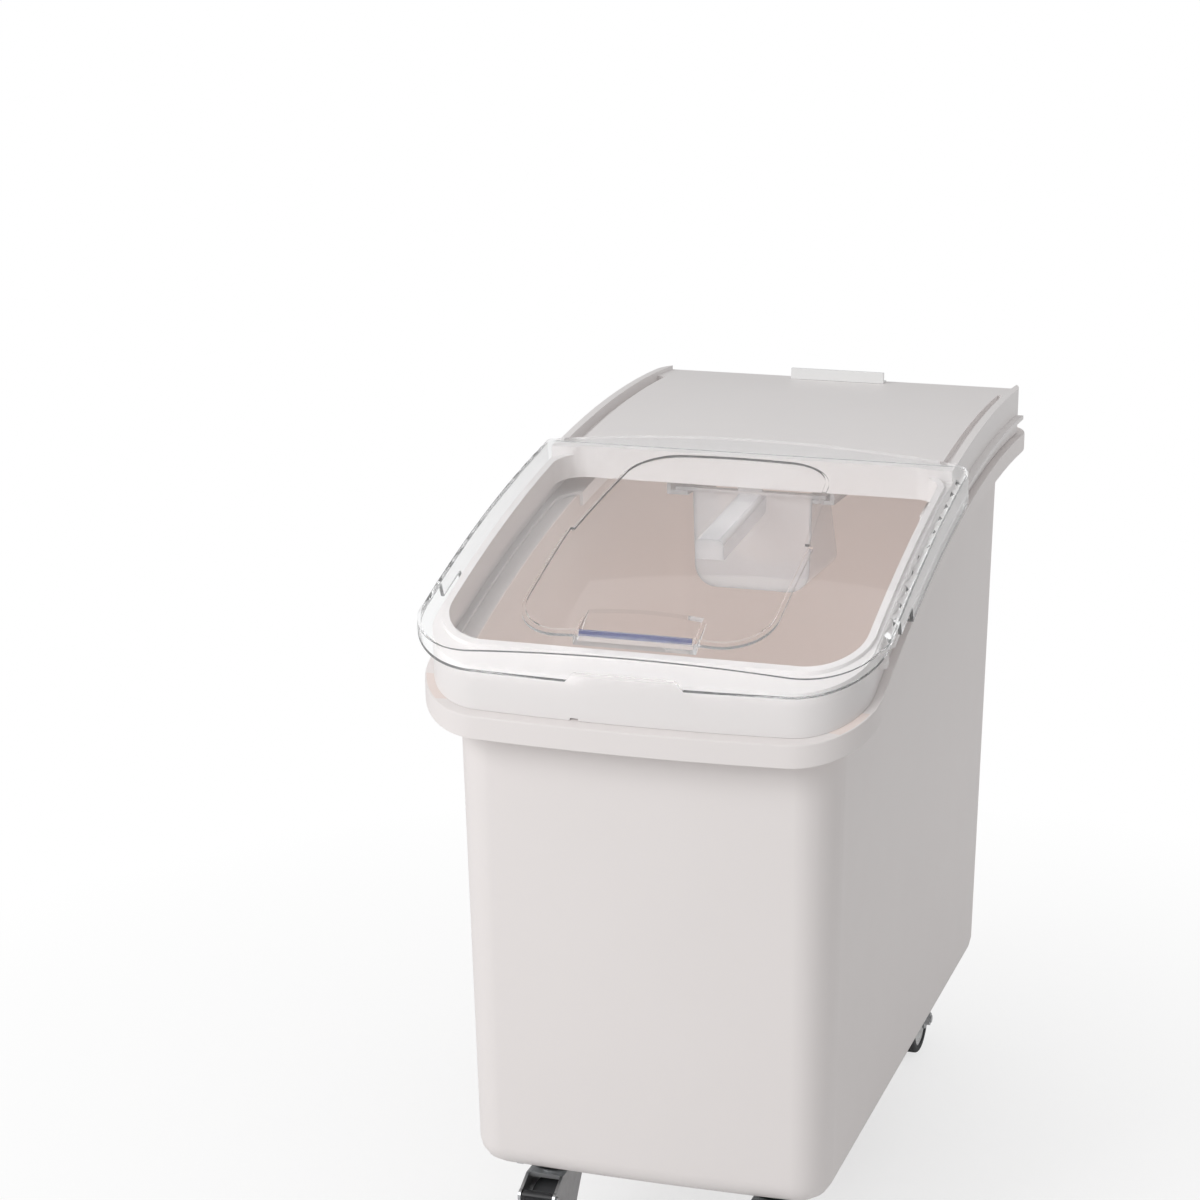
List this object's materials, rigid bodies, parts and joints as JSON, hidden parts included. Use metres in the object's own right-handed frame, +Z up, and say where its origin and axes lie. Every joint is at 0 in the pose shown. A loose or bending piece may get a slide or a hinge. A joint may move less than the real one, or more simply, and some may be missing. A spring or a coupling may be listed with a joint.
{
  "type": "rice bin with sliding lid",
  "caption": "Mobile rice and ingredient bin: slant-front tub on braked swivel and rigid casters, with a hooded top frame, a clear lid that slides back and a clear scoop hung inside.",
  "frame": {"origin": "on the floor under the centre of the bin", "axes": "+Z up, the low front faces -Y, +X to the right seen from the front"},
  "size_m": [0.394, 0.729, 0.7085],
  "materials": {
    "white_plastic": "smooth satin polyethylene",
    "hood_plastic": "smooth satin moulding",
    "clear_plastic": "clear polished polycarbonate",
    "zinc_plated_steel": "bright zinc plate",
    "tyre_rubber": "smooth grey rubber",
    "pedal_plastic": "moulded nylon"
  },
  "bodies": {
    "bin": {"tub": "white_plastic", "top_frame": "hood_plastic", "lid_stop": "white_plastic", "scoop_hook_left": "white_plastic", "scoop_hook_right": "white_plastic", "scoop_catch": "white_plastic", "caster_screws": "zinc_plated_steel", "swivel_plate_left": "zinc_plated_steel", "kingpin_left": "zinc_plated_steel", "rigid_bracket_left": "zinc_plated_steel", "rear_axle_left": "zinc_plated_steel", "swivel_plate_right": "zinc_plated_steel", "kingpin_right": "zinc_plated_steel", "rigid_bracket_right": "zinc_plated_steel", "rear_axle_right": "zinc_plated_steel"},
    "lid": {"sliding_lid": "clear_plastic"},
    "scoop": {"scoop": "clear_plastic"},
    "swivel_left": {"fork_left": "zinc_plated_steel", "swivel_balls_left": "zinc_plated_steel", "front_axle_left": "zinc_plated_steel", "brake_pin_left": "zinc_plated_steel"},
    "front_wheel_left": {"front_wheel_left": "white_plastic", "front_tyre_left": "tyre_rubber"},
    "brake_left": {"brake_pedal_left": "pedal_plastic"},
    "rear_wheel_left": {"rear_wheel_left": "white_plastic", "rear_tyre_left": "tyre_rubber"},
    "swivel_right": {"fork_right": "zinc_plated_steel", "swivel_balls_right": "zinc_plated_steel", "front_axle_right": "zinc_plated_steel", "brake_pin_right": "zinc_plated_steel"},
    "front_wheel_right": {"front_wheel_right": "white_plastic", "front_tyre_right": "tyre_rubber"},
    "brake_right": {"brake_pedal_right": "pedal_plastic"},
    "rear_wheel_right": {"rear_wheel_right": "white_plastic", "rear_tyre_right": "tyre_rubber"}
  },
  "joints": [
    {"name": "lid_slide", "type": "hinge", "parent": "bin", "child": "lid", "pos_m": [0, 0.264, -0.805], "axis": [-1, 0, 0], "range_deg": [0, 11.44]},
    {"name": "scoop_slide", "type": "slide", "parent": "bin", "child": "scoop", "axis": [0, -1, 0], "range_m": [0, 0.05]},
    {"name": "swivel_left_turn", "type": "hinge", "parent": "bin", "child": "swivel_left", "pos_m": [-0.102, -0.258, 0.09], "axis": [0, 0, 1], "continuous": true},
    {"name": "front_wheel_left_spin", "type": "hinge", "parent": "swivel_left", "child": "front_wheel_left", "pos_m": [-0.102, -0.28, 0.0375], "axis": [-1, 0, 0], "continuous": true},
    {"name": "brake_left_press", "type": "hinge", "parent": "swivel_left", "child": "brake_left", "pos_m": [-0.102, -0.309, 0.0725], "axis": [-1, 0, 0], "range_deg": [0, 15]},
    {"name": "rear_wheel_left_spin", "type": "hinge", "parent": "bin", "child": "rear_wheel_left", "pos_m": [-0.102, 0.258, 0.0375], "axis": [-1, 0, 0], "continuous": true},
    {"name": "swivel_right_turn", "type": "hinge", "parent": "bin", "child": "swivel_right", "pos_m": [0.102, -0.258, 0.09], "axis": [0, 0, 1], "continuous": true},
    {"name": "front_wheel_right_spin", "type": "hinge", "parent": "swivel_right", "child": "front_wheel_right", "pos_m": [0.102, -0.28, 0.0375], "axis": [-1, 0, 0], "continuous": true},
    {"name": "brake_right_press", "type": "hinge", "parent": "swivel_right", "child": "brake_right", "pos_m": [0.102, -0.309, 0.0725], "axis": [-1, 0, 0], "range_deg": [0, 15]},
    {"name": "rear_wheel_right_spin", "type": "hinge", "parent": "bin", "child": "rear_wheel_right", "pos_m": [0.102, 0.258, 0.0375], "axis": [-1, 0, 0], "continuous": true}
  ]
}
